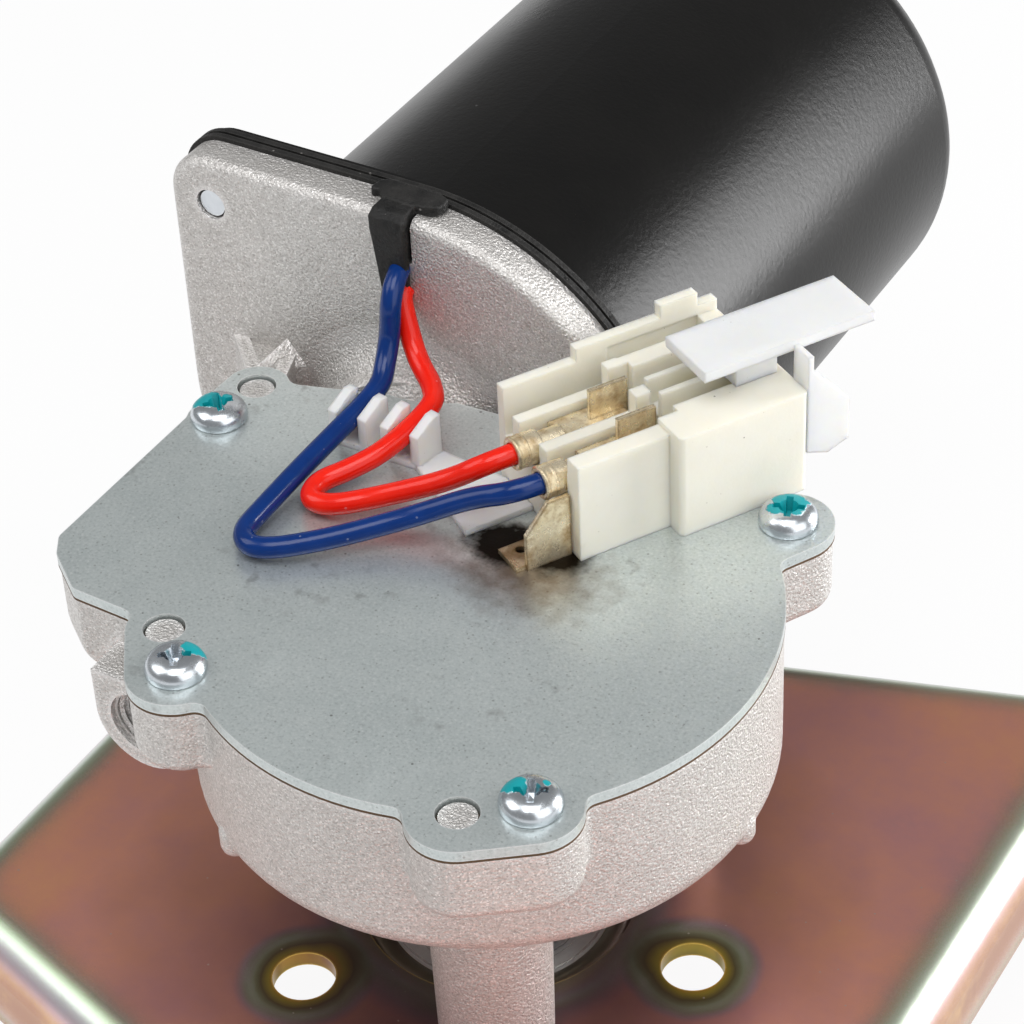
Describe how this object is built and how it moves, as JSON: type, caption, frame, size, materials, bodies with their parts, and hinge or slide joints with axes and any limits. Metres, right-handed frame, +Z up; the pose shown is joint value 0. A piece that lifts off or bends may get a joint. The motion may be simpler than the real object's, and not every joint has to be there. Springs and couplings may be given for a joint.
{
  "type": "wiper motor",
  "caption": "Electric wiper motor with worm gearbox, black can, plug-in connector and a pressed mounting bracket under its legs.",
  "frame": {"origin": "on the output axis, in the top face of the bracket plate, at the centre of the circle of bolt holes", "axes": "+Z up along the output axis towards the gear cover, +Y along the motor axis towards the can, +X to the right seen from the gear case towards the can"},
  "size_m": [0.1719, 0.2879, 0.1549],
  "materials": {
    "cast_aluminium": "sand-cast grain, warm light grey",
    "galvanised_sheet": "mottled grey galvanised sheet",
    "paper_gasket": "brown gasket paper",
    "zinc_screw": "bright zinc plated",
    "black_can": "satin black paint",
    "black_rubber": "matt black rubber",
    "steel": "ground steel",
    "bronze": "sintered bronze",
    "copper": "enamelled copper",
    "iron_core": "stacked iron sheets",
    "ferrite": "dark ferrite",
    "carbon": "carbon",
    "phenolic": "brown laminate",
    "wheel_plastic": "cream nylon",
    "white_nylon": "ivory nylon",
    "clear_nylon": "translucent white nylon",
    "tinned_brass": "tarnished tinned brass",
    "blue_wire": "glossy blue",
    "red_wire": "glossy red",
    "yellow_zinc": "iridescent yellow zinc",
    "hub_steel": "turned steel"
  },
  "bodies": {
    "motor_unit": {"gear_housing": "cast_aluminium", "cover_plate": "galvanised_sheet", "cover_gasket": "paper_gasket", "cover_screws": "zinc_screw", "motor_can": "black_can", "can_gasket": "black_rubber", "can_screws": "zinc_screw", "magnets": "ferrite", "brush_plate": "phenolic", "brush_boxes": "tinned_brass", "brushes": "carbon", "brush_springs": "steel", "front_bush": "bronze", "rear_bush": "bronze", "bearing_outer_ring": "steel", "bearing_balls": "steel", "thrust_ball": "steel", "adjuster_plug": "zinc_screw", "output_bushes": "bronze", "thrust_washers": "steel", "contact_carrier": "phenolic", "park_contacts": "tinned_brass", "wire_grommet": "black_rubber", "wire_comb": "white_nylon", "connector_housing": "white_nylon", "connector_latch": "clear_nylon", "terminal_blue": "tinned_brass", "terminal_red": "tinned_brass", "contact_blade": "tinned_brass", "wire_blue": "blue_wire", "wire_red": "red_wire", "mounting_bracket": "yellow_zinc", "threaded_hub": "hub_steel", "weld_bead": "yellow_zinc", "leg_screws": "zinc_screw", "leg_washers": "zinc_screw"},
    "armature": {"armature_shaft": "steel", "armature_core": "iron_core", "armature_windings": "copper", "commutator": "copper", "bearing_inner_ring": "steel"},
    "output": {"worm_wheel": "wheel_plastic", "output_shaft": "steel", "circlip": "steel", "park_disc": "tinned_brass", "shaft_washer": "zinc_screw", "shaft_nut": "zinc_screw"}
  },
  "joints": [
    {"name": "armature_spin", "type": "hinge", "parent": "motor_unit", "child": "armature", "pos_m": [-0.043, 0, 0.052], "axis": [0, 1, 0], "continuous": true},
    {"name": "output_spin", "type": "hinge", "parent": "motor_unit", "child": "output", "pos_m": [0, 0, 0], "axis": [0, 0, 1], "continuous": true}
  ],
  "couplings": [
    {"joint": "output_spin", "follows": "armature_spin", "ratio": 0.02}
  ]
}
